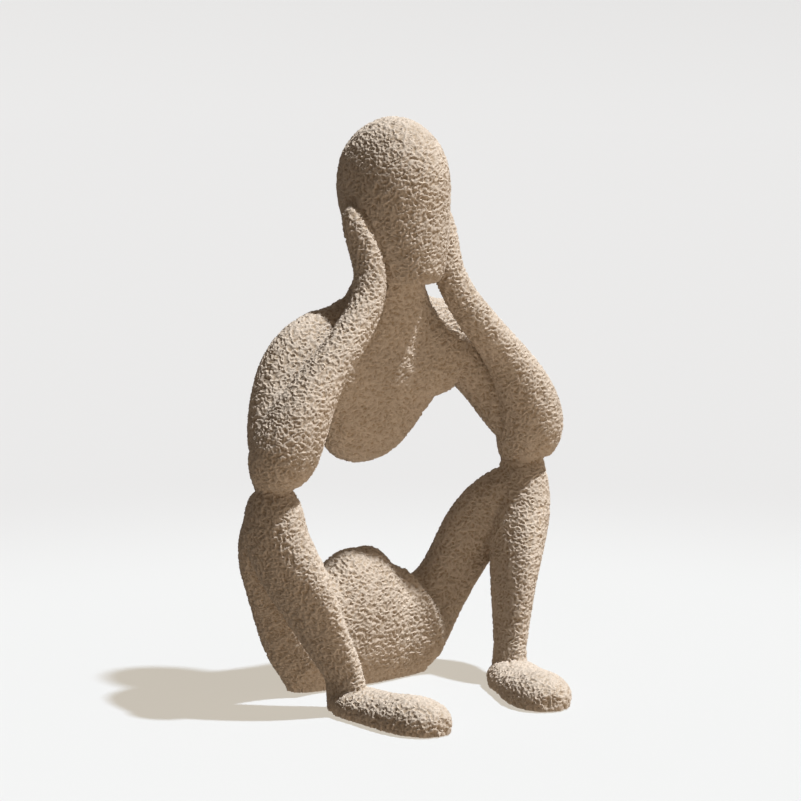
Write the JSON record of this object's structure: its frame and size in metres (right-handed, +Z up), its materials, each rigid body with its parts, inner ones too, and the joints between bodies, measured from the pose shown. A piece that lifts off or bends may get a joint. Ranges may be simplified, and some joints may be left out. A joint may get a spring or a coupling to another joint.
{
  "type": "thinker statue",
  "caption": "Seated faceless abstract figure with knees drawn up, elbows on its knees and head held in its hands, with a sand-textured matte finish, for a desk or shelf.",
  "frame": {"origin": "on the floor under the middle of the figure's bounding box, at the undersides of its felt pads", "axes": "+Z up; the figure faces -Y, its back is towards +Y, and its own left side is +X"},
  "size_m": [0.1736, 0.1276, 0.2599],
  "materials": {
    "cast_stone": "warm sand-coloured stone-filled cast resin, matte, with a wrinkled grainy relief",
    "steel": "plain dowel pin, satin",
    "felt": "pressed wool felt, brown"
  },
  "bodies": {
    "root": {"head": "cast_stone", "torso": "cast_stone", "right_arm": "cast_stone", "left_arm": "cast_stone", "pelvis": "cast_stone", "right_leg": "cast_stone", "left_leg": "cast_stone", "right_foot": "cast_stone", "left_foot": "cast_stone", "neck_pin": "steel", "right_shoulder_pin": "steel", "left_shoulder_pin": "steel", "right_palm_pin": "steel", "left_palm_pin": "steel", "right_elbow_pin": "steel", "left_elbow_pin": "steel", "right_hip_pin": "steel", "left_hip_pin": "steel", "right_ankle_pin": "steel", "left_ankle_pin": "steel", "pelvis_pad": "felt", "right_foot_pad": "felt", "left_foot_pad": "felt"}
  },
  "joints": []
}
